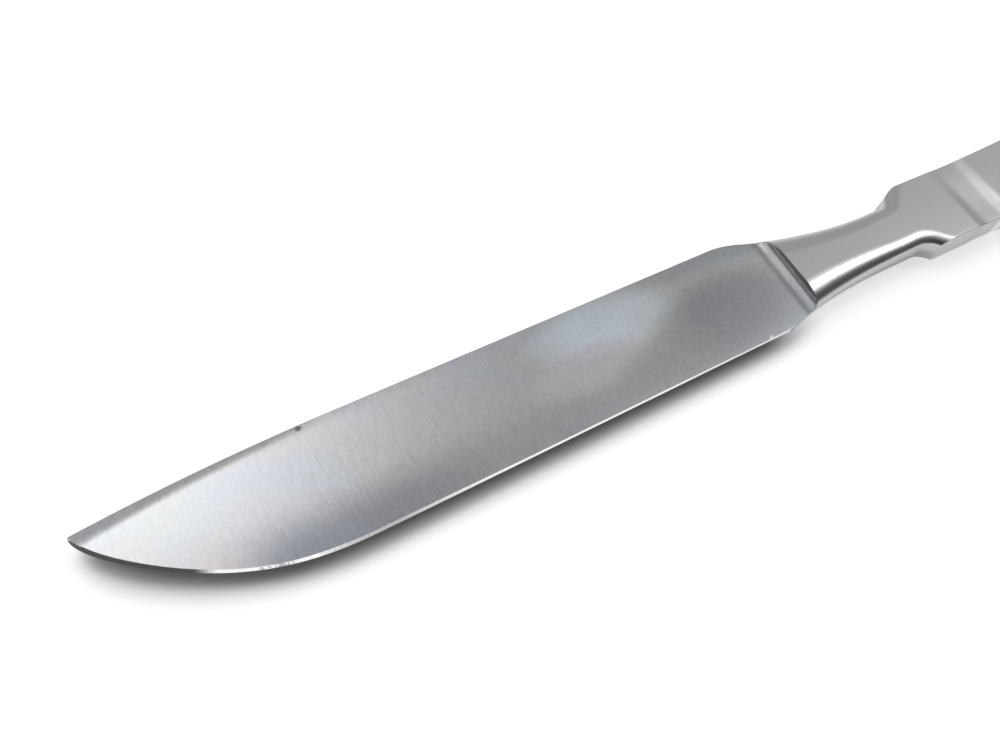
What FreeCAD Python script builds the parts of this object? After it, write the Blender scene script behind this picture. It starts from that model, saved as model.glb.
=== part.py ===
"""Amputation knife, forged in one piece from a flat steel bar and ground to shape.

X runs from the point of the blade to the butt of the handle, Y from the cutting edge to the
spine, and Z is up from the side that the knife lies on. Both sides of the knife are alike.
While it is drawn, X is measured from the point and Y from the middle of the shoulder.
"""
import FreeCAD, Part
import math
import os

from FreeCAD import Vector

# Lengths along the knife, in millimetres and degrees
overall_length = 250.0
blade_length = 120.0        # point to the front wall of the neck
spine_heel_ahead = 10.5     # front wall forward to where the spine turns in
edge_heel_ahead = 7.0       # front wall forward to the heel of the cutting edge
waist_back = 22.0           # front wall back to the narrowest part of the neck
shoulder_back = 29.3        # front wall back to where the handle has its full width

# The bar that the neck and the handle are made from
bar_thickness = 5.8

# Outline of the blade, in widths from the middle of the shoulder
spine_reach = 10.72         # where the spine turns in
edge_reach = 8.55
spine_rise = 0.23           # the spine is straight, and a little higher where it starts to bow down
spine_bow = 1.8             # how far it drops at the point
spine_bow_length = 36.5
belly_drop = 0.3            # how far the belly hangs below the straight edge
belly_widest = 37.0         # from the point
belly_flat = 16.5           # the edge leaves its widest part level, towards a place this far ahead of it
belly_fall = 4.6            # and falls from the point square to the spine, towards a place this far down
belly_pull = (14.6, 13.9)   # between these it bends round a place this far behind and below the point

# Thickness of the blade, which each face rounds over towards the point
heel_spine_thickness = 2.3
heel_edge_thickness = 0.8
point_spine_thickness = 1.9
point_edge_thickness = 0.8
face_crown = 0.12

# Narrow facet ground along the spine behind the point
swage_length = 38.0
swage_width = 2.4
swage_angle = 9.0

# Sharpened facet: share of the edge's length from the point, and angle to the middle plane
sharpening = ((0.0, 62.0), (0.1, 66.0), (0.18, 60.0), (0.26, 45.0), (0.36, 45.0), (0.55, 58.0), (1.0, 62.0))

# Neck
bolster_spine_reach = 8.2   # at the front wall
bolster_edge_reach = 7.0
bolster_lead = (2.4, 0.6)   # its outline comes in from this far ahead of the heel and outside it
waist_spine_reach = 4.6
waist_edge_reach = 5.45
bolster_rounding = 5.4      # width of the neck's rounded edges, which are wide at the bolster
waist_rounding = 2.7        # and narrow from the waist to the shoulder
bolster_round_height = 2.8
cove_radius = 2.0           # hollow that the front wall runs into the blade with
shoulder_hollow = 4.0
shoulder_angle = 45.0

# Handle
handle_drop = 0.8           # the handle's line falls away from the blade's, in degrees
shoulder_width = 14.3
grip_width = 18.0
grip_widest_ahead = 32.0    # butt forward to the widest part of the grip
butt_radius = 8.6
handle_edge_rounding = 0.5
shoulder_edge_rounding = 1.3    # the long edges are softer at the shoulder,
soft_edge_length = 13.0         # and fade to the grip's over this length
dip_back = 38.8             # front wall back to the thumb dip
dip_length = 9.5
dip_depth = 0.35
dip_wall_run = 1.5

# Places worked out from the sizes
middle = bar_thickness / 2
heel_x = blade_length - edge_heel_ahead
spine_heel_x = blade_length - spine_heel_ahead
waist_x = blade_length + waist_back
shoulder_x = blade_length + shoulder_back
grip_x = shoulder_x + soft_edge_length
cove_x = blade_length - cove_radius
stock = 5.0                 # how far the rough shapes stand past the finished outline
overlap = 1.0               # how far a shape runs on past the one that it joins or trims
tiny = 0.001
rounded_end_x = shoulder_x + waist_rounding / math.sin(math.radians(shoulder_angle)) + overlap
outside = max(spine_reach + spine_rise, edge_reach + belly_drop, grip_width / 2) + stock
along_x = Vector(1, 0, 0)


def line(start, end):
    return Part.LineSegment(start, end)


def curve_through(points, start_direction, end_direction):
    """Smooth curve through the points, with its direction given at both ends."""
    curve = Part.BSplineCurve()
    curve.interpolate(Points=points, InitialTangent=start_direction, FinalTangent=end_direction)
    return curve


def wire(curves):
    return Part.Wire([curve.toShape() for curve in curves])


def bar_prism(curves):
    """Straight-sided solid on a closed outline, as thick as the bar."""
    return Part.Face(wire(curves)).extrude(Vector(0, 0, bar_thickness))


def slab(x_start, x_end):
    """Block as thick as the bar and wider than the knife."""
    return Part.makeBox(x_end - x_start, 2 * outside, bar_thickness, Vector(x_start, -outside, 0))


def both_sides(cutter):
    """A cutter for the upper side, and the same for the lower side."""
    return [cutter, cutter.mirror(Vector(0, 0, middle), Vector(0, 0, 1))]


def spine_line_y(x):
    """The straight part of the spine, and the same line carried on over its bow."""
    return spine_reach + spine_rise * (spine_heel_x - x) / (spine_heel_x - spine_bow_length)


def spine_y(x):
    """The spine is straight, and bows down towards the point."""
    return spine_line_y(x) - spine_bow * (max(0.0, spine_bow_length - x) / spine_bow_length) ** 2


def face_height(x, y):
    """Height of the blade's upper face over the middle plane, a wedge with a slight crown."""
    along = x / blade_length
    across = (y + edge_reach) / (spine_reach + edge_reach)
    spine = point_spine_thickness + (heel_spine_thickness - point_spine_thickness) * along
    edge = point_edge_thickness + (heel_edge_thickness - point_edge_thickness) * along
    crown = face_crown * (1 - along) * (1 - (2 * across - 1) ** 2)
    return (edge + (spine - edge) * across) / 2 + crown


def spine_neck():
    """Outline from where the spine turns in, past the bolster and back to the waist."""
    heel = Vector(spine_heel_x, spine_reach, 0)
    bolster = Vector(blade_length, bolster_spine_reach, 0)
    waist = Vector(waist_x, waist_spine_reach, 0)
    along_spine = Vector(spine_heel_x - spine_bow_length, -spine_rise, 0)
    return curve_through([heel, bolster, waist], along_spine, along_x)


def edge_neck():
    """Outline from ahead of the heel of the edge, past the bolster and back to the waist."""
    lead = Vector(bolster_lead[0], bolster_lead[1], 0)
    heel = Vector(heel_x, -edge_reach, 0)
    bolster = Vector(blade_length, -bolster_edge_reach, 0)
    waist = Vector(waist_x, -waist_edge_reach, 0)
    return curve_through([heel - lead, heel, bolster, waist], lead, along_x)


def spine_curves():
    """The bow of the spine behind the point, and the straight part."""
    half_bow_x = (spine_bow_length - stock) / 2
    bow = Part.BezierCurve()
    bow.setPoles([
        Vector(-stock, spine_y(-stock), 0),
        Vector(half_bow_x, spine_line_y(half_bow_x), 0),
        Vector(spine_bow_length, spine_y(spine_bow_length), 0),
    ])
    return [bow, line(bow.EndPoint, Vector(spine_heel_x, spine_reach, 0))]


def shoulder(waist):
    """From the waist a hollow turns out into the straight front of the shoulder."""
    turn = math.radians(shoulder_angle)
    side = math.copysign(1, waist.y)
    rise = shoulder_width / 2 - abs(waist.y)
    hollow_rise = shoulder_hollow * (1 - math.cos(turn))
    front_run = (rise - hollow_rise) / math.tan(turn)
    start = Vector(shoulder_x - front_run - shoulder_hollow * math.sin(turn), waist.y, 0)

    def on_hollow(angle):
        offset = Vector(math.sin(angle), side * (1 - math.cos(angle)), 0)
        return start + offset * shoulder_hollow

    hollow = Part.Arc(start, on_hollow(turn / 2), on_hollow(turn))
    end_x = hollow.EndPoint.x + (outside - abs(hollow.EndPoint.y)) / math.tan(turn)
    return [line(waist, start), hollow, line(hollow.EndPoint, Vector(end_x, side * outside, 0))]


def plan_body():
    """Plan outline as thick as the bar, with the rounded edges of the spine and the neck."""
    necks = [spine_neck(), edge_neck()]
    far = spine_curves() + [necks[0]] + shoulder(necks[0].EndPoint)
    near = [necks[1]] + shoulder(necks[1].EndPoint)
    butt_x = overall_length + stock
    rear = [
        far[-1].EndPoint,
        Vector(butt_x, outside, 0),
        Vector(butt_x, -outside, 0),
        near[-1].EndPoint,
    ]
    front = [
        near[0].StartPoint,
        Vector(near[0].StartPoint.x, -outside, 0),
        Vector(-stock, -outside, 0),
        far[0].StartPoint,
    ]
    rear_lines = [line(a, b) for a, b in zip(rear, rear[1:])]
    front_lines = [line(a, b) for a, b in zip(front, front[1:])]
    outline = Part.Face(wire(far + rear_lines + near[::-1] + front_lines))

    # The rounding is wider than it is high: it is rolled on a stretched bar, which is then flattened
    stretch = bolster_rounding / bolster_round_height
    body = outline.extrude(Vector(0, 0, bar_thickness * stretch))
    neck_edges = []
    for edge in body.Edges:
        centre = edge.valueAt((edge.FirstParameter + edge.LastParameter) / 2)
        below = Part.Vertex(centre.x, centre.y, 0)
        level = abs(centre.z - middle * stretch) > middle * stretch - tiny
        if level and min(neck.toShape().distToShape(below)[0] for neck in necks) < tiny:
            neck_edges.append(edge)
    body = body.makeFillet(bolster_rounding, waist_rounding, neck_edges)
    flatten = FreeCAD.Matrix()
    flatten.scale(1, 1, 1 / stretch)
    return body.transformGeometry(flatten)


def grip_body():
    """The grip widens gently from the front of the handle and ends in a round butt."""
    front = Vector(grip_x, shoulder_width / 2, 0)
    widest = Vector(overall_length - grip_widest_ahead, grip_width / 2, 0)
    end = Vector(overall_length - butt_radius, butt_radius, 0)
    side = curve_through([front, widest, end], along_x, along_x)
    other = side.copy()
    other.mirror(Vector(0, 0, 0), along_x)
    butt = Part.Arc(side.EndPoint, Vector(overall_length, 0, 0), other.EndPoint)
    body = bar_prism([side, butt, other, line(other.StartPoint, side.StartPoint)])
    rounded = []
    for edge in body.Edges:
        centre = edge.valueAt((edge.FirstParameter + edge.LastParameter) / 2)
        if abs(centre.z - middle) > middle - tiny and centre.x > grip_x + tiny:
            rounded.append(edge)
    return body.makeFillet(handle_edge_rounding, rounded)


def bar_section(x, half_width, rounding):
    """Section of the bar across the handle, with rounded corners."""
    flat_y = half_width - rounding
    flat_z = middle - rounding
    centre = Vector(x, 0, middle)
    curves = []
    corners = ((1, 1), (-1, 1), (-1, -1), (1, -1))
    for y, z in corners:
        across = Vector(0, y * rounding, 0)
        up = Vector(0, 0, z * rounding)
        pivot = centre + Vector(0, y * flat_y, z * flat_z)
        ends = (pivot + across, pivot + up) if y == z else (pivot + up, pivot + across)
        curves.append(Part.Arc(ends[0], pivot + (across + up) * math.sqrt(0.5), ends[1]))
    sides = [line(a.EndPoint, b.StartPoint) for a, b in zip(curves, curves[1:] + curves[:1])]
    return wire([curve for pair in zip(curves, sides) for curve in pair])


def handle_body():
    """The long edges are soft at the shoulder and fade to the grip's."""
    half_width = shoulder_width / 2
    shoulder_section = bar_section(shoulder_x, half_width, shoulder_edge_rounding)
    grip_section = bar_section(grip_x, half_width, handle_edge_rounding)
    body = Part.makeLoft([shoulder_section, grip_section], True, True).fuse(grip_body())
    body.rotate(Vector(shoulder_x, 0, 0), Vector(0, 0, 1), -handle_drop)
    return body


def blade_section(x):
    """Lens across the blade, a little wider than the blade."""
    low = -edge_reach - belly_drop - overlap
    high = spine_reach + spine_rise + overlap
    tops = [Vector(x, y, face_height(x, y)) for y in (low, (low + high) / 2, high)]
    pole = tops[1] * 2 - (tops[0] + tops[2]) / 2
    curves = []
    for flip in (1, -1):
        curve = Part.BezierCurve()
        curve.setPoles([Vector(p.x, p.y, middle + flip * p.z) for p in (tops[0], pole, tops[2])])
        curves.append(curve)
    top, bottom = curves
    sides = [line(top.EndPoint, bottom.EndPoint), line(bottom.StartPoint, top.StartPoint)]
    return wire([top, sides[0], bottom, sides[1]])


def cove_cutter():
    """Rolls the front wall of the neck into the face of the blade."""
    ends = []
    for y in (-outside, outside):
        ends.append(Vector(cove_x, y, middle + face_height(cove_x, y) + cove_radius))
    axis = ends[1] - ends[0]
    return Part.makeCylinder(cove_radius, axis.Length, ends[0], axis)


def dip_cutter():
    """Shallow trough across the handle, with a soft wall at each end."""
    start_x = blade_length + dip_back
    end_x = start_x + dip_length
    floor = bar_thickness - dip_depth

    def wall(top_x, bottom_x):
        half = (top_x + bottom_x) / 2
        curve = Part.BezierCurve()
        curve.setPoles([
            Vector(top_x, -outside, bar_thickness),
            Vector(half, -outside, bar_thickness),
            Vector(half, -outside, floor),
            Vector(bottom_x, -outside, floor),
        ])
        return curve

    front = wall(start_x, start_x + dip_wall_run)
    rear = wall(end_x, end_x - dip_wall_run)
    over = [Vector(start_x, -outside, bar_thickness + stock), Vector(end_x, -outside, bar_thickness + stock)]
    outline = [
        front,
        line(front.EndPoint, rear.EndPoint),
        rear,
        line(rear.StartPoint, over[1]),
        line(over[1], over[0]),
        line(over[0], front.StartPoint),
    ]
    return Part.Face(wire(outline)).extrude(Vector(0, 2 * outside, 0))


def profile_body():
    """The knife seen from its edge: a thin blade, the cove, the bar, and the thumb dips."""
    blade = Part.makeLoft([blade_section(-stock), blade_section(blade_length + overlap)], True, True)
    bar = slab(cove_x, overall_length + stock)
    for cutter in both_sides(cove_cutter()) + both_sides(dip_cutter()):
        bar = bar.cut(cutter)
    return bar.fuse(blade)


def sharpening_angle(share):
    """Angle of the sharpened facet at a share of the edge's length."""
    for (start, first), (end, last) in zip(sharpening, sharpening[1:]):
        if share <= end:
            return first + (last - first) * (share - start) / (end - start)
    return sharpening[-1][1]


def edge_curves():
    """Line of the cutting edge, from the point over the belly to the heel."""
    point = Vector(0, spine_y(0), 0)
    widest = Vector(belly_widest, -edge_reach - belly_drop, 0)
    belly = Part.BezierCurve()
    belly.setPoles([
        point,
        point + Vector(0, -belly_fall, 0),
        point + Vector(belly_pull[0], -belly_pull[1], 0),
        widest + Vector(-belly_flat, 0, 0),
        widest,
    ])
    straight = Part.BezierCurve()
    half_x = (belly_widest + heel_x) / 2
    straight.setPoles([
        widest,
        Vector(half_x, widest.y, 0),
        Vector(half_x, -edge_reach, 0),
        Vector(heel_x, -edge_reach, 0),
    ])
    return [belly, straight]


def whetstone():
    """Cuts the sharpened facet: its wall leans in from the edge line, more where it is flatter."""
    height = heel_spine_thickness
    samples = 12
    lower = []
    upper = []
    for curve in edge_curves():
        foot = []
        top = []
        for step in range(samples + 1):
            span = curve.LastParameter - curve.FirstParameter
            place = curve.FirstParameter + span * step / samples
            at = curve.value(place)
            tangent = curve.tangent(place)[0]
            inward = Vector(-tangent.y, tangent.x, 0)
            run = height / math.tan(math.radians(sharpening_angle(at.x / heel_x)))
            foot.append(at)
            top.append(at + inward * run)
        for points, curves in ((foot, lower), (top, upper)):
            facet = Part.BSplineCurve()
            facet.interpolate(points)
            curves.append(facet)

    def outline(curves, level):
        start = curves[0].StartPoint
        end = curves[-1].EndPoint
        lead = curves[0].tangent(curves[0].FirstParameter)[0] * -stock
        corners = [
            end,
            Vector(blade_length + stock, end.y, 0),
            Vector(blade_length + stock, -2 * outside, 0),
            Vector(-2 * stock, -2 * outside, 0),
            Vector(-2 * stock, outside, 0),
            start + lead,
            start,
        ]
        lines = [line(a, b) for a, b in zip(corners, corners[1:])]
        closed = wire(curves + lines)
        closed.translate(Vector(0, 0, level))
        return closed

    return Part.makeLoft([outline(lower, middle), outline(upper, middle + height)], True, True)


def swage_cutter():
    """Takes a narrow leaning facet off the face, along the spine behind the point."""
    sections = []
    for x, width in ((-stock, swage_width), (swage_length, 0.0)):
        y = spine_y(x) - width
        z = middle + face_height(x, y)
        reach = outside - y
        drop = reach * math.tan(math.radians(swage_angle))
        corners = [
            Vector(x, y, z),
            Vector(x, outside, z + reach),
            Vector(x, outside, z - drop),
            Vector(x, y, z),
        ]
        sections.append(Part.makePolygon(corners))
    return Part.makeLoft(sections, True, True)


def knife():
    """The plan outline and the side profile cut each other, then the blade is ground."""
    bar = slab(-stock, shoulder_x).fuse(handle_body())
    front = slab(-stock, rounded_end_x)
    blank = bar.common(front).common(plan_body()).fuse(bar.cut(front))
    body = blank.common(profile_body())
    for cutter in both_sides(whetstone()) + both_sides(swage_cutter()):
        body = body.cut(cutter)
    return body.removeSplitter().Solids[0]


def centred(shape):
    """Puts the origin under the middle of the knife, on the side that it lies on."""
    box = shape.optimalBoundingBox(False)
    shape.translate(Vector(-box.Center.x, -box.Center.y, -box.ZMin))
    return shape


if __name__ == "__main__":
    os.makedirs("parts", exist_ok=True)
    finished = centred(knife())
    print("volume", round(finished.Volume, 1), "valid", finished.isValid())
    finished.exportStep("parts/knife.step")
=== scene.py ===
"""Small amputation knife, forged in one piece, lying on its flat side on a white table.

X runs from the point of the blade to the butt of the handle, Y from the cutting edge to the spine,
and Z is up. Blender's units are metres.
"""
import math

import bpy
import numpy as np
from mathutils import Matrix, Vector


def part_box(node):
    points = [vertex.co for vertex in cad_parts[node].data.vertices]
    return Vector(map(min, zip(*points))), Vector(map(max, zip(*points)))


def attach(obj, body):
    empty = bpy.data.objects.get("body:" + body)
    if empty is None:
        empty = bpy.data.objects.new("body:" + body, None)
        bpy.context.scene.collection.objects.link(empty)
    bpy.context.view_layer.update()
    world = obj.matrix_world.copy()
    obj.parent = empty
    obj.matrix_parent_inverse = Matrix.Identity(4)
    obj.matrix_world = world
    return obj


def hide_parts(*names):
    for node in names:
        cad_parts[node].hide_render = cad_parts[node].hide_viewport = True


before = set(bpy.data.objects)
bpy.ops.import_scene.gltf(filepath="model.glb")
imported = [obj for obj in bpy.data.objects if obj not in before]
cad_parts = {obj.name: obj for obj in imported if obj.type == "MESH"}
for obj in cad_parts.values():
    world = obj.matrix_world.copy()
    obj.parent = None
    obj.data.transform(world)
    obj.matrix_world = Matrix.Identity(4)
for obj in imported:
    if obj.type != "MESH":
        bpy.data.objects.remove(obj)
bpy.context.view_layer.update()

# Knife: blade, stepped bolster, waisted neck and flat handle, all one bar of stainless steel. It is
# forged to its outline, its faces are ground and its edge is sharpened. Lengths are in millimetres
# from the point of the blade, the middle line of the shoulder and the middle plane.
overall_length = 250.0
blade_length = 120.0
bar_half = 2.9
middle_line_y = -0.00048903
low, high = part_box("knife")
millimetre = 0.001
point_place = Vector((low.x, middle_line_y, bar_half * millimetre))


def eased(x, knots):
    """Smooth line through knots of place, value and slope."""
    places, values, slopes = np.array(knots, float).T
    k = np.clip(np.searchsorted(places, x, side="right") - 1, 0, len(places) - 2)
    span = places[k + 1] - places[k]
    t = np.clip((x - places[k]) / span, 0, 1)
    start = values[k] * (1 + 2 * t) * (1 - t) ** 2 + slopes[k] * span * t * (1 - t) ** 2
    end = values[k + 1] * (3 - 2 * t) * t ** 2 - slopes[k + 1] * span * t ** 2 * (1 - t)
    return start + end


def ramp(x, start, end):
    """Rises smoothly from 0 to 1 between two places."""
    t = np.clip((x - start) / (end - start), 0, 1)
    return t * t * (3 - 2 * t)


# Outline of the blade
spine_heel_x = 109.5
edge_heel_x = 113.0
spine_reach = 10.72
edge_reach = 8.55
spine_slope = -0.00315
bow_length = 36.5
bow_drop = 1.8
belly_poles = ((0.0, 0.0), (0.0, -4.6), (14.6, -13.9), (20.5, -17.999), (37.0, -17.999))
edge_line_end = 126.0


def spine_y(x):
    bow = np.maximum(0, bow_length - x) / bow_length
    return spine_reach + spine_slope * (x - spine_heel_x) - bow_drop * bow ** 2


point_y = float(spine_y(0.0))
belly_t = np.linspace(0, 1, 900)
binomials = (1, 4, 6, 4, 1)
belly = sum(
    n * belly_t[:, None] ** k * (1 - belly_t[:, None]) ** (4 - k) * np.array(pole)
    for k, (n, pole) in enumerate(zip(binomials, belly_poles))
)
belly[:, 1] += point_y
belly_x, belly_y = belly.T
belly_low = belly_y[-1]
straight_x = np.linspace(belly_poles[-1][0], edge_heel_x, 500)[1:]
straight_y = eased(straight_x, ((belly_poles[-1][0], belly_low, 0), (edge_heel_x, -edge_reach, 0)))
after_x = np.linspace(edge_heel_x, edge_line_end, 120)[1:]
edge_line = np.column_stack((
    np.concatenate((belly_x, straight_x, after_x)),
    np.concatenate((belly_y, straight_y, np.full(after_x.shape, -edge_reach))),
))

# Outline of the bolster, the neck and the front of the shoulder, on the spine's side and on the edge's
waist_x = 142.0
shoulder_x = 149.3
far_shoulder_x = 148.4
shoulder_half = 7.15
far_hollow_radius = 2.6
near_hollow_radius = 4.0
far_waist = 4.6
near_waist = 5.45
shoulder_turn = math.radians(45)
front_length = 16.0
foot_reach = 7.0


def neck_line(knots, waist_half, corner_x, hollow_radius):
    """Places from ahead of the bolster to past the shoulder, on one side of the middle line."""
    rise = shoulder_half - waist_half
    hollow_rise = hollow_radius * (1 - math.cos(shoulder_turn))
    hollow_run = hollow_radius * math.sin(shoulder_turn)
    hollow_x = corner_x - (rise - hollow_rise) / math.tan(shoulder_turn) - hollow_run
    x = np.arange(knots[0][0], waist_x, 0.1)
    y = eased(x, knots)
    turn = np.linspace(0, shoulder_turn, 60)
    hollow = (hollow_x + hollow_radius * np.sin(turn), waist_half + hollow_radius * (1 - np.cos(turn)))
    front_x = np.linspace(hollow_x + hollow_run, corner_x + front_length, 200)[1:]
    front_y = shoulder_half + (front_x - corner_x) * math.tan(shoulder_turn)
    return np.column_stack((np.concatenate((x, hollow[0], front_x)), np.concatenate((y, hollow[1], front_y))))


far_neck = neck_line(
    ((90.0, spine_reach, 0.0), (spine_heel_x, spine_reach, spine_slope), (blade_length, 8.2, -0.285),
     (waist_x, far_waist, 0.0)),
    far_waist, far_shoulder_x, far_hollow_radius,
)
near_neck = neck_line(
    ((100.0, 12.2, -0.28), (110.6, 9.15, -0.25), (edge_heel_x, edge_reach, -0.243),
     (blade_length, 7.0, -0.175), (waist_x, near_waist, 0.0)),
    near_waist, shoulder_x, near_hollow_radius,
)
near_neck[:, 1] *= -1

# Outline of the handle, which leans a little towards the edge
handle_lean = math.tan(math.radians(0.8))
near_corner = 0.7
far_corner = 2.4
heel_margin = 2.0
shoulder_start = shoulder_x - 4
shoulder_end = shoulder_x + 10
grip_x = 162.3
butt_radius = 8.6
butt_start = overall_length - butt_radius
grip_knots = ((grip_x, shoulder_half, 0), (218.0, 9.0, -0.003), (butt_start, butt_radius, 0))


def handle_half(x):
    butt = np.sqrt(np.maximum(0, butt_radius ** 2 - np.maximum(0, x - overall_length + butt_radius) ** 2))
    side = eased(x, grip_knots)
    return np.where(x > butt_start, butt, side)


def handle_middle(x):
    return -handle_lean * (x - shoulder_x)


def softer(first, second, reach):
    """The lesser of two lines, with the corner between them rounded off over a reach."""
    near = np.maximum(reach - np.abs(first - second), 0) / reach
    return np.minimum(first, second) - near ** 2 * reach / 4


def outline(x):
    """Lower and upper end of the bar's outline at a place along it."""
    far = np.where(x < spine_heel_x, spine_y(x), np.interp(x, far_neck[:, 0], far_neck[:, 1]))
    edge = np.interp(x, edge_line[:, 0], edge_line[:, 1])
    beside_neck = np.maximum(edge, np.interp(x, near_neck[:, 0], near_neck[:, 1]))
    near = np.where(x < edge_heel_x - heel_margin, edge, beside_neck)
    half = handle_half(x)
    centre = handle_middle(x)
    on_handle = x > shoulder_start
    near = np.where(on_handle, -softer(-near, half - centre, near_corner), near)
    far = np.where(on_handle, softer(far, centre + half, far_corner), far)
    near = np.where(x > shoulder_end, centre - half, near)
    far = np.where(x > shoulder_end, centre + half, far)
    return near, far


def inside(line, x, y):
    """Distance from places at one x to a line that runs from point to butt, and their foot on it."""
    line = line[np.abs(line[:, 0] - x[0]) < foot_reach]
    tangent = np.gradient(line, axis=0)
    tangent /= np.linalg.norm(tangent, axis=1)[:, None]
    offset = np.column_stack((x, y))[:, None, :] - line[None, :, :]
    nearest = np.argmin((offset ** 2).sum(axis=2), axis=1)
    offset = offset[np.arange(len(nearest)), nearest]
    across = tangent[nearest, 0] * offset[:, 1] - tangent[nearest, 1] * offset[:, 0]
    return across, line[nearest, 0]


# Faces of the blade: a wedge from the spine to the edge, with a slight crown
heel_thickness = (0.8, 2.3)
point_thickness = (0.8, 1.9)
face_crown = 0.12
roll_width = 3.0
roll_angle = math.radians(6)
roll_start = 8.0
roll_full = 34.0


def blade_face(x, y):
    along = x / blade_length
    across = (y + edge_reach) / (spine_reach + edge_reach)
    edge, spine = (a + (b - a) * along for a, b in zip(point_thickness, heel_thickness))
    crown = face_crown * (1 - along) * (1 - (2 * across - 1) ** 2)
    rolled = np.maximum(0, 1 - (outline(x)[1] - y) / roll_width)
    roll = rolled ** 2 * roll_width * math.tan(roll_angle) / 2 * ramp(x, roll_start, roll_full)
    return (edge + (spine - edge) * across) / 2 + crown - roll


# Narrow facet along the spine behind the point, and the sharpened facet along the edge
swage_length = 38.0
swage_start = 5.0
swage_width = 2.4
swage_drop = math.tan(math.radians(15))
swage_softness = 1.7
swage_fade = 9.0
sharpening = ((0.0, 62.0), (0.1, 66.0), (0.18, 60.0), (0.26, 45.0), (0.36, 46.0), (0.55, 62.0), (1.0, 69.0))


def swage_reach(x):
    return swage_width * np.maximum(0, swage_length - x) / (swage_length + swage_start)


def swage(x, y):
    """Drop below the face, which begins softly over swage_softness."""
    over = np.maximum(0, y - spine_y(x) + swage_reach(x) + swage_softness / 2)
    bent = np.minimum(over, swage_softness)
    drop = (bent ** 2 / (2 * swage_softness) + over - bent) * swage_drop
    return drop * ramp(x, swage_length, swage_length - swage_fade)


def sharpened(x, y):
    distance, foot = inside(edge_line, x, y)
    angle = np.interp(foot / edge_heel_x, *np.array(sharpening).T)
    return np.maximum(0, distance) * np.tan(np.radians(angle))


# Rounded edges of the neck and of the handle, hollow of the front wall, and the thumb dips
bolster_rounding = 5.4
waist_rounding = 2.7
round_flatness = 2.8 / 5.4
bolster_x = 110.0
rounding_start = 106.0
rounding_full = 118.5
rounding_end = shoulder_x + 8
least_rounding = 0.01
grip_rounding = 0.22
grip_start = shoulder_x - 1
bar_start = 105.0
cove_radius = 2.0
cove_run = 3.0
cove_x = blade_length - cove_run
cove_softness = 1.35
dip_start = 158.8
dip_end = 168.3
dip_wall = 3.0
dip_depth = 0.35
far_dip = 0.35
dip_far_y = 6.0
dip_near_y = -5.0


def rounded(distance, width, height):
    """Height over the middle plane of an edge that is rounded over a width and a height."""
    share = np.clip(distance / width, 0, 1)
    return bar_half - height + height * np.sqrt(1 - (1 - share) ** 2)


def neck_rounding(x):
    share = np.clip((x - bolster_x) / (waist_x - bolster_x), 0, 1)
    width = bolster_rounding + (waist_rounding - bolster_rounding) * share
    return np.maximum(width * ramp(x, rounding_start, rounding_full), least_rounding)


def bar_face(x, y):
    """The bar behind the front wall of the neck."""
    height = np.full(y.shape, bar_half)
    if x[0] < rounding_end:
        width = neck_rounding(x)
        for line, side in ((far_neck, -1), (near_neck, 1)):
            distance, foot = inside(line, x, y)
            height = np.minimum(height, rounded(distance * side, width, width * round_flatness))
    if x[0] > grip_start:
        distance = handle_half(x) - np.abs(y - handle_middle(x))
        height = np.minimum(height, rounded(distance, grip_rounding, grip_rounding))
    dip = ramp(x, dip_start, dip_start + dip_wall) - ramp(x, dip_end - dip_wall, dip_end)
    return height - dip_depth * dip * (far_dip + (1 - far_dip) * ramp(-y, -dip_far_y, -dip_near_y))


def blade_top(x, y):
    """The blade up to the hollow that its face rolls into."""
    face = blade_face(x, y)
    if x[0] < swage_length:
        face = face - swage(x, y)
    hollow = np.clip((x - cove_x) / (blade_length - cove_x), 0, 1) ** cove_softness
    face = face + cove_radius * (1 - np.sqrt(1 - hollow ** 2))
    face = np.minimum(face, sharpened(x, y))
    if x[0] > bar_start:
        face = np.minimum(face, bar_face(x, y))
    return face


# Places along the bar: close together at the point, the hollow, the shoulder, the dips and the butt
def places(start, end, count):
    return list(np.linspace(start, end, count, endpoint=False))


point_end = 24.0
point_steps = 60
heel_start = 104.0
hollow_steps = 20
butt_steps = 26
quarter = math.pi / 2
dip_floor_start = dip_start + dip_wall
dip_floor_end = dip_end - dip_wall
point_places = [point_end * (k / point_steps) ** 2 for k in range(point_steps)]
hollow_places = [
    cove_x + (blade_length - cove_x) * math.sin(quarter * k / hollow_steps)
    for k in range(hollow_steps + 1)
]
butt_places = [butt_start + butt_radius * math.sin(quarter * k / butt_steps) for k in range(butt_steps + 1)]
blade_places = point_places + places(point_end, heel_start, 90) + places(heel_start, cove_x, 36)
blade_places += hollow_places
bar_places = places(blade_length, waist_x, 60) + places(waist_x, dip_start, 96)
bar_places += places(dip_start, dip_floor_start, 12) + places(dip_floor_start, dip_floor_end, 6)
bar_places += places(dip_floor_end, dip_end, 12) + places(dip_end, butt_start, 70) + butt_places
wall_steps = 5

# Rows across the bar: some on each rounded edge, and the rest on the face, its roll and its facet
near_rows = 16
face_rows = 22
strip_rows = 6
probe_count = 120
facet_rows_end = 108.0
round_rows_start = 116.0
slant_share = 0.55
least_strip = 0.35
soft_margin = 1.0
soft_share = 0.45


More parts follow.
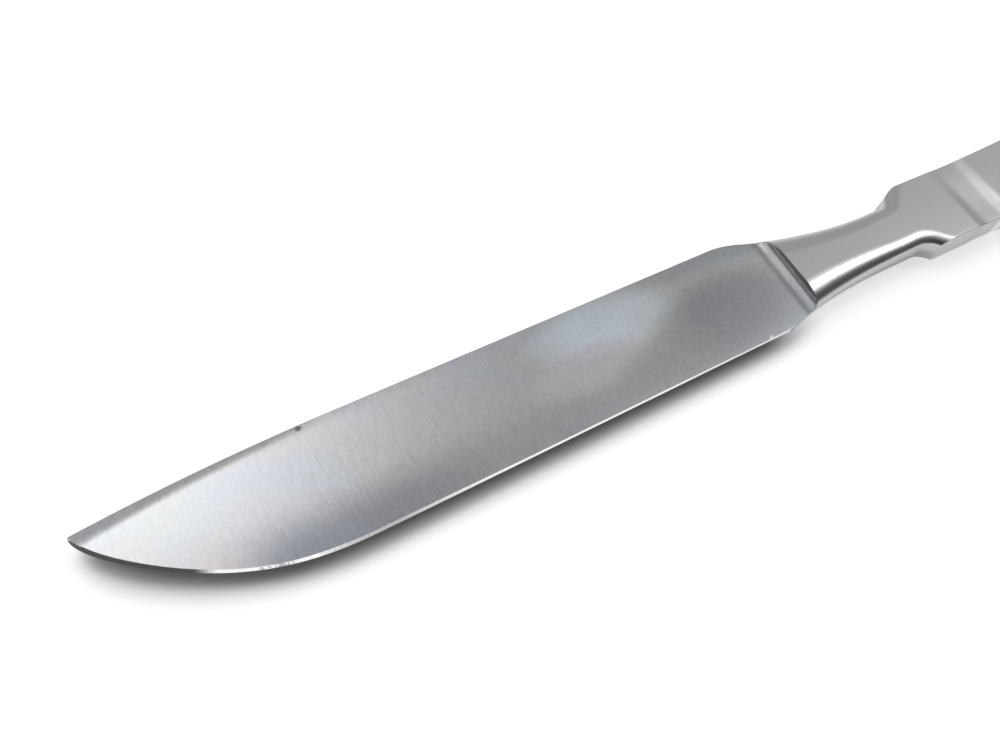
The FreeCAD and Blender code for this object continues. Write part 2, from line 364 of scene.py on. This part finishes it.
def rows_across(x):
    """Places across the bar, close together on the rounded edges and in line with the facets."""
    low_y, high_y = (float(end[0]) for end in outline(np.array([x])))
    half = (high_y - low_y) / 2
    if x < edge_heel_x:
        probe = low_y + 2 * half * np.linspace(0, 1, probe_count) ** 2
        along = np.full(probe.shape, x)
        face = blade_face(along, probe) - (swage(along, probe) if x < swage_length else 0)
        over = sharpened(along, probe) - face
        k = int(np.argmax(over >= 0))
        share = over[k - 1] / (over[k - 1] - over[k]) if k > 0 else 1.0
        facet = probe[k - 1] + (probe[k] - probe[k - 1]) * share - low_y if over[-1] > 0 else 2 * half
    else:
        facet = 0.0
    swap = float(ramp(x, facet_rows_end, round_rows_start))
    rounding = float(neck_rounding(np.array([x]))[0]) if x < rounding_end else 0
    if x > waist_x:
        # Where the shoulder turns out the rounding is crossed at a slant
        rounding = rounding * (1 + slant_share * float(ramp(x, waist_x + 3, shoulder_x)))
        fade = float(1 - ramp(x, shoulder_x + 3, shoulder_x + 5))
        rounding = max(rounding * fade, grip_rounding)
    near_zone = min((1 - swap) * facet + swap * rounding, half)
    far_zone = min(swap * rounding, half)
    inner = (low_y + near_zone, high_y - far_zone)
    room = inner[1] - inner[0]
    line = max(float(swage_reach(x)), least_strip)
    soft = max(roll_width, line + soft_margin)
    if room < soft / soft_share:
        line, soft = line * room * soft_share / soft, room * soft_share
    turn = np.cos(np.linspace(0, math.pi / 2, near_rows + 1))
    near = low_y + near_zone * (1 - turn)
    face = np.linspace(inner[0], inner[1] - soft, face_rows + 1)[1:]
    roll = np.linspace(inner[1] - soft, inner[1] - line, strip_rows + 1)[1:]
    strip = np.linspace(inner[1] - line, inner[1], strip_rows + 1)[1:]
    far = high_y - far_zone * (1 - turn[::-1])
    return np.concatenate((near, face, roll, strip, far[1:]))


# A grid is pressed to the height of the ground faces, because they flow into each other along the
# whole bar. It is then mirrored for the underside, and the two are bridged around the outline.
facet_gap = 0.01
facet_limit = 0.7
weld_reach = 0.002 * millimetre
sliver_reach = 0.001 * millimetre
crease_angle = math.radians(28)
columns = []
on_facet = []
for x in blade_places:
    y = rows_across(x)
    along = np.full(y.shape, x)
    columns.append(np.column_stack((along, y, blade_top(along, y))))
    ground_away = sharpened(along, y) < blade_face(along, y) - facet_gap
    at_edge = (np.arange(len(y)) < near_rows) & (y - y[0] < facet_limit) & (x < edge_heel_x)
    on_facet.append(ground_away & at_edge)
front = columns[-1]
for x in bar_places:
    y = rows_across(x)
    along = np.full(y.shape, x)
    column = np.column_stack((along, y, bar_face(along, y)))
    if x == bar_places[0]:
        columns += [front + (column - front) * step / wall_steps for step in range(1, wall_steps)]
    columns.append(column)
on_facet += [np.zeros(len(y))] * (len(columns) - len(on_facet))

skin = np.array(columns)
column_count, row_count = skin.shape[:2]
bpy.ops.object.select_all(action="DESELECT")
bpy.ops.mesh.primitive_grid_add(x_subdivisions=column_count - 1, y_subdivisions=row_count - 1, size=1)
knife = bpy.context.object
knife.name = "knife_steel"
placed = skin.transpose(1, 0, 2).reshape(-1, 3) * millimetre + np.array(point_place)
placed[:, 0] = np.clip(placed[:, 0], low.x, high.x)
placed[:, 1] = np.clip(placed[:, 1], low.y, high.y)
knife.data.vertices.foreach_set("co", placed.ravel())
knife.data.update()
facet = knife.data.attributes.new("sharpened_facet", "FLOAT", "POINT")
facet.data.foreach_set("value", np.array(on_facet, float).T.ravel())

bpy.ops.object.mode_set(mode="EDIT")
bpy.ops.mesh.select_all(action="SELECT")
bpy.ops.mesh.duplicate()
bpy.ops.transform.resize(value=(1, 1, -1), center_override=(0, 0, point_place.z))
bpy.ops.mesh.flip_normals()
bpy.ops.mesh.select_all(action="SELECT")
bpy.ops.mesh.region_to_loop()
bpy.ops.mesh.bridge_edge_loops()
bpy.ops.mesh.select_all(action="SELECT")
bpy.ops.mesh.remove_doubles(threshold=weld_reach)
bpy.ops.mesh.dissolve_degenerate(threshold=sliver_reach)
bpy.ops.mesh.select_all(action="SELECT")
bpy.ops.mesh.normals_make_consistent(inside=False)
bpy.ops.object.mode_set(mode="OBJECT")
bpy.ops.object.shade_smooth_by_angle(angle=crease_angle)
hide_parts("knife")
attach(knife, "root")


class Value:
    """A socket of a shader tree, with arithmetic that adds the Math nodes."""

    def __init__(self, tree, socket):
        self.tree = tree
        self.socket = socket

    def node(self, kind, settings=None, **values):
        """Adds a node, sets its settings first and then fills or links its sockets."""
        made = self.tree.nodes.new(kind)
        for name, setting in (settings or {}).items():
            setattr(made, name, setting)
        for name, value in values.items():
            socket = made.inputs[int(name[1:])] if name[0] == "_" else made.inputs[name.replace("_", " ")]
            if isinstance(value, Value):
                self.tree.links.new(value.socket, socket)
            else:
                socket.default_value = value
        return made

    def out(self, kind, output, settings=None, **values):
        return Value(self.tree, self.node(kind, settings, **values).outputs[output])

    def math(self, operation, *values):
        filled = {f"_{i}": v for i, v in enumerate(values)}
        return self.out("ShaderNodeMath", 0, {"operation": operation}, **filled)

    def __add__(self, other):
        return self.math("ADD", self, other)

    def __sub__(self, other):
        return self.math("SUBTRACT", self, other)

    def __mul__(self, other):
        return self.math("MULTIPLY", self, other)

    def __truediv__(self, other):
        return self.math("DIVIDE", self, other)

    def __rsub__(self, other):
        return self.math("SUBTRACT", other, self)

    def __rtruediv__(self, other):
        return self.math("DIVIDE", other, self)

    __radd__ = __add__
    __rmul__ = __mul__


# The steel: marks of the grinding run across the blade, and the neck and the handle are softly
# polished. Places in its masks are in millimetres along and across the knife.
steel = bpy.data.materials.new("satin_steel")
steel.use_nodes = True
tree = steel.node_tree
shader = tree.nodes["Principled BSDF"]
start = Value(tree, None)
place = start.out("ShaderNodeTexCoord", "Object")
split = start.node("ShaderNodeSeparateXYZ", Vector=place)
along = (Value(tree, split.outputs[0]) - point_place.x) / millimetre
across = (Value(tree, split.outputs[1]) - point_place.y) / millimetre


def soft_step(value, low_end, high_end):
    """Mask that rises smoothly from 0 to 1."""
    return value.out("ShaderNodeMapRange", "Result", {"interpolation_type": "SMOOTHSTEP"},
                     Value=value, From_Min=low_end, From_Max=high_end)


def grey(value):
    """Colour with the same value in each of its parts."""
    return value.out("ShaderNodeCombineColor", "Color", Red=value, Green=value, Blue=value)


def grain(size_along, size_across, slant, detail, offset=0.0):
    """Noise between 0 and 1 whose marks have the given size in millimetres."""
    laid = start.out(
        "ShaderNodeMapping", "Vector", Vector=place,
        Location=(offset, 0, 0), Rotation=(0, 0, math.radians(slant)),
        Scale=[1 / (size * millimetre) for size in (size_along, size_across, size_across)],
    )
    return start.out("ShaderNodeTexNoise", "Fac", Vector=laid, Scale=1.0, Detail=detail, Roughness=0.6)


def blend(factor, first, second, kind="MIX"):
    """Mixes two colours."""
    node = start.node("ShaderNodeMix", {"data_type": "RGBA", "blend_type": kind})
    for socket, value in ((node.inputs[0], factor), (node.inputs[6], first), (node.inputs[7], second)):
        if isinstance(value, Value):
            tree.links.new(value.socket, socket)
        else:
            socket.default_value = value
    return Value(tree, node.outputs[2])


on_blade = 1 - soft_step(along, 119.8, 120.4)
ground = 1 - 0.6 * soft_step(along, 40.0, 80.0)
streaks = grain(0.22, 4.0, -6, 2.0)
mottle = grain(0.5, 0.8, 0, 2.0, 3.1)
patches = grain(13.0, 9.0, 20, 1.0, 7.7)
cool = grain(17.0, 8.0, 15, 1.0, 1.3)

plain_steel = (0.50, 0.495, 0.488, 1)
rose_steel = (0.52, 0.49, 0.502, 1)
blue_steel = (0.475, 0.50, 0.54, 1)
olive_steel = (0.495, 0.497, 0.468, 1)
blade_colour = blend(soft_step(patches, 0.45, 0.75), plain_steel, rose_steel)
blade_colour = blend(soft_step(patches, 0.52, 0.25), blade_colour, olive_steel)
blade_colour = blend(soft_step(cool, 0.4, 0.7) * 0.8, blade_colour, blue_steel)
# Painted dark reflection, bluish, along the edge's side of the face behind the point, fading towards the heel
painted_dark_band = soft_step(across, 1.0, -6.5) * soft_step(along, 13.0, 26.0)
painted_band_steel = (0.24, 0.255, 0.29, 1)
painted_band_fade = 1 - 0.6 * soft_step(along, 38.0, 62.0)
blade_colour = blend(painted_dark_band * painted_band_fade * 0.8, blade_colour, painted_band_steel)


def spot(place_along, place_across, length, width):
    """Soft oval spot, 1 at its middle and 0 at its half length and half width."""
    first = (along - place_along) / length
    second = (across - place_across) / width
    return soft_step(first * first + second * second, 1.0, 0.05)


# Lighter and darker spots of the ground face, in the rear half of the blade; the dark spot over the heel is
# painted shade
uneven = 0.55 + 0.9 * patches
pale_blue_steel = (0.66, 0.72, 0.79, 1)
pale_rose_steel = (0.60, 0.57, 0.61, 1)
painted_heel_shade_steel = (0.31, 0.315, 0.345, 1)
dark_rose_steel = (0.36, 0.34, 0.355, 1)
blade_colour = blend(spot(84.0, 6.0, 17.0, 6.5) * uneven, blade_colour, pale_blue_steel)
blade_colour = blend(spot(78.0, 0.0, 14.0, 5.0) * 0.7, blade_colour, pale_rose_steel)
# Painted shade over the heel
blade_colour = blend(spot(106.0, -1.0, 17.0, 9.0) * 0.9, blade_colour, painted_heel_shade_steel)
blade_colour = blend(spot(93.0, -4.5, 15.0, 6.0) * 0.7, blade_colour, dark_rose_steel)

# Sharpened facet: a painted dark reflection at the point, a painted bright reflection behind it, and nicks at
# the belly
painted_dark_facet = (0.07, 0.07, 0.07, 1)
painted_bright_facet = (0.95, 0.95, 0.95, 1)
nick_steel = (0.3, 0.3, 0.3, 1)
sharp = start.out("ShaderNodeAttribute", "Fac", {"attribute_name": "sharpened_facet"})
facet_reflection_turn = soft_step(along, 12.5, 16.0)
nicks = soft_step(along, 20.0, 20.8) * soft_step(along, 25.2, 24.4)
nicks = nicks * soft_step(grain(0.4, 0.4, 0, 1.0, 5.0), 0.5, 0.56) * 0.7
# The facet's colour turns from the painted dark reflection to the painted bright one
painted_facet_reflection = blend(facet_reflection_turn, painted_dark_facet, painted_bright_facet)
blade_colour = blend(sharp, blade_colour, blend(nicks, painted_facet_reflection, nick_steel))

# A dark speck at the spine, and painted shade over the far end of the hollow
speck_steel = (0.1, 0.1, 0.1, 1)
painted_hollow_shade_steel = (0.22, 0.22, 0.22, 1)
blade_colour = blend(spot(33.1, 10.4, 0.7, 0.6) * 0.8, blade_colour, speck_steel)
# Painted shade in the hollow, deepening towards the spine
far_cove_shade = soft_step(along, 116.8, 118.2) * soft_step(across, 0.0, 7.0)
blade_colour = blend(far_cove_shade * 0.4, blade_colour, painted_hollow_shade_steel)

# The bar: painted shade on its flanks under the neck, a painted highlight on the rear walls of the dips and
# painted shade on their front walls
bar_steel = (0.50, 0.492, 0.503, 1)
painted_flank_shade_steel = (0.31, 0.295, 0.28, 1)
height = (Value(tree, split.outputs[2]) - point_place.z) / millimetre
# Painted shade on the lower flank of the neck, where it reflects the shaded table
flank_shade = soft_step(height, 0.9, -0.6) * soft_step(along, 152.0, 147.0)
near_side = 0.35 + 0.65 * soft_step(across, 5.0, -5.0)
# Painted highlight on the rear walls of the dips and painted shade on their front walls, strongest on the
# edge's side
rear_wall_highlight = soft_step(along, 165.2, 166.8) * soft_step(along, 169.2, 167.6) * near_side
front_wall_shade = soft_step(along, 158.6, 159.6) * soft_step(along, 161.2, 160.2) * near_side
painted_wall_light = 1 + rear_wall_highlight * 0.7 - front_wall_shade * 0.1
bar_colour = blend(flank_shade, bar_steel, painted_flank_shade_steel)
bar_colour = blend(1.0, bar_colour, grey(painted_wall_light), "MULTIPLY")
colour = blend(on_blade, bar_colour, blade_colour)

# Grinding marks, strongest near the point, painted shade over the heel, and a fine mottle all over
# Painted shade darkens the heel of the blade
painted_heel_shade = 0.16 * soft_step(along, 86.0, 104.0) * on_blade
blade_marks = ((streaks - 0.5) * 0.42 * ground + (mottle - 0.5) * 0.22) * on_blade
marks_and_painted_shade = 1 - painted_heel_shade + blade_marks + (mottle - 0.5) * 0.08
colour = blend(1.0, colour, grey(marks_and_painted_shade), "MULTIPLY")
tree.links.new(colour.socket, shader.inputs["Base Color"])
roughness = 0.3 + on_blade * 0.02 + (streaks - 0.5) * 0.07 * on_blade + (mottle - 0.5) * 0.04
tree.links.new(roughness.socket, shader.inputs["Roughness"])
shader.inputs["Metallic"].default_value = 1
knife.data.materials.clear()
knife.data.materials.append(steel)

# Table: a board faced with matt white laminate, with nothing fixed to it. The knife lies loose on it,
# on the flat of its handle. The lamps shade it softly, and a painted shadow is laid where the blade is clear
# of it.
floor_size = 40.0
laminate_white = (0.62, 0.62, 0.62, 1)
lift = 0.67
shade_reach = 0.008
shade_lean = (0.2, 0.7, 0.68)
shade_end_x = point_place.x + 0.124
shade_full_x = point_place.x + 0.108
bpy.ops.mesh.primitive_plane_add(size=floor_size)
table = bpy.context.object
table.name = "table_top"
laminate = bpy.data.materials.new("white_laminate")
laminate.use_nodes = True
tree = laminate.node_tree
base = tree.nodes["Principled BSDF"]
base.inputs["Base Color"].default_value = laminate_white
base.inputs["Roughness"].default_value = 0.9
base.inputs["Specular IOR Level"].default_value = 0.0
top = Value(tree, None)
path = top.node("ShaderNodeLightPath")
seen = Value(tree, path.outputs["Is Camera Ray"]) + Value(tree, path.outputs["Is Glossy Ray"])
seen = seen + Value(tree, path.outputs["Is Transmission Ray"])
base.inputs["Emission Strength"].default_value = lift
leaning = top.out("ShaderNodeCombineXYZ", "Vector", X=shade_lean[0], Y=shade_lean[1], Z=shade_lean[2])
# Painted shadow on the edge's side: where ambient occlusion, looking towards the spine's side, finds the
# floor hidden, the white glow is taken away, fully where the blade is clear of the table and a little by the
# handle
open_floor = top.out("ShaderNodeAmbientOcclusion", "AO", Distance=shade_reach, Normal=leaning)
painted_floor_shadow = soft_step(open_floor, 0.9, 0.52)
spread = top.node("ShaderNodeSeparateXYZ", Vector=top.out("ShaderNodeTexCoord", "Object"))
under_blade = soft_step(Value(tree, spread.outputs[0]), shade_end_x, shade_full_x)
seen = seen * (1 - painted_floor_shadow * (0.12 + 0.88 * under_blade))
emission = top.node("ShaderNodeMix", {"data_type": "RGBA"})
emission.inputs[6].default_value = (0, 0, 0, 1)
emission.inputs[7].default_value = (1, 1, 1, 1)
tree.links.new(seen.socket, emission.inputs[0])
tree.links.new(emission.outputs[2], base.inputs["Emission Color"])
table.data.materials.append(laminate)

# Studio: a soft grey room with fabric screens, lighter behind the knife than in front of it and pale
# along the horizon, with one round soft lamp on the handle's side
world = bpy.data.worlds.new("studio")
bpy.context.scene.world = world
world.use_nodes = True
tree = world.node_tree
sky = tree.nodes["Background"]
start = Value(tree, None)
direction = start.out("ShaderNodeTexCoord", "Generated")


def toward(azimuth, elevation):
    """Unit direction, with the azimuth from X towards Y."""
    a, e = math.radians(azimuth), math.radians(elevation)
    return (math.cos(a) * math.cos(e), math.sin(a) * math.cos(e), math.sin(e))


def lobe(azimuth, elevation, inner, outer):
    """1 within the inner angle of a direction, fading to 0 at the outer angle."""
    axis = toward(azimuth, elevation)
    near = start.out("ShaderNodeVectorMath", "Value", {"operation": "DOT_PRODUCT"}, _0=direction, _1=axis)
    return soft_step(near, math.cos(math.radians(outer)), math.cos(math.radians(inner)))


parts = start.node("ShaderNodeSeparateXYZ", Vector=direction)
lengthways = Value(tree, parts.outputs[0])
sideways = Value(tree, parts.outputs[1])
upward = Value(tree, parts.outputs[2])
room = 0.2 + 0.36 * soft_step(sideways, -0.28, 0.1)
for dimming, *place_and_angles in (
    (0.2, 47, 61, 6, 21),
    (0.6, -38, 28, 10, 26),
    (0.8, -95, 52, 14, 36),
    (0.65, 162, 8, 16, 42),
):
    room = room * (1 - dimming * lobe(*place_and_angles))
low_card = (1 - soft_step(upward, 0.12, 0.34)) * lobe(-76, 5, 14, 30)
strip = soft_step(sideways, 0.25, 0.34) * soft_step(upward, 0.80, 0.87) * soft_step(lengthways, -0.5, -0.15)
strip = strip * (1.2 * soft_step(lengthways, 0.36, 0.12) + 1.6 * soft_step(lengthways, 0.13, 0.01))
room = room + low_card * 0.6 + strip + 1.1 * lobe(146, 46, 9, 22)
room = room + 1.1 * lobe(-109, 14, 12, 24)
horizon = soft_step(upward, 0.15, 0.11)
pale = 0.97
room = room * (1 - horizon) + pale * horizon
tree.links.new(grey(room).socket, sky.inputs["Color"])


def soft_lamp(name, azimuth, elevation, width, strength):
    """Round lamp a long way off, seen at the given angle, with the given brightness of its face."""
    lamp = bpy.data.lights.new(name, "SUN")
    lamp.angle = math.radians(width)
    lamp.energy = strength * math.pi * math.sin(math.radians(width / 2)) ** 2
    made = bpy.data.objects.new(name, lamp)
    made.rotation_euler = Vector(toward(azimuth, elevation)).to_track_quat("Z", "Y").to_euler()
    bpy.context.scene.collection.objects.link(made)


soft_lamp("right_lamp", -2, 47.5, 18, 5.0)

# Camera: beside the edge and above the point of the blade, tilted down steeply and rolled a little,
# so that the knife runs up to the right of the picture
focal_share = 0.89926
camera_place = Vector((-0.108996, -0.047789, 0.1224))
camera_azimuth = math.radians(-42.44)
camera_elevation = math.radians(59.02)
camera_roll = math.radians(14.24)

lens = bpy.data.cameras.new("camera")
lens.sensor_width = 36
lens.lens = focal_share * lens.sensor_width
lens.clip_start = 0.005
camera = bpy.data.objects.new("camera", lens)
back = Vector((
    math.sin(camera_azimuth) * math.cos(camera_elevation),
    -math.cos(camera_azimuth) * math.cos(camera_elevation),
    math.sin(camera_elevation),
))
right = (-back).cross(Vector((0, 0, 1))).normalized()
up = back.cross(right)
turned_right = right * math.cos(camera_roll) + up * math.sin(camera_roll)
turned_up = up * math.cos(camera_roll) - right * math.sin(camera_roll)
turned = Matrix((turned_right, turned_up, back)).transposed().to_4x4()
camera.matrix_world = Matrix.Translation(camera_place) @ turned
bpy.context.scene.collection.objects.link(camera)
bpy.context.scene.camera = camera
bpy.context.scene.view_settings.view_transform = "Standard"
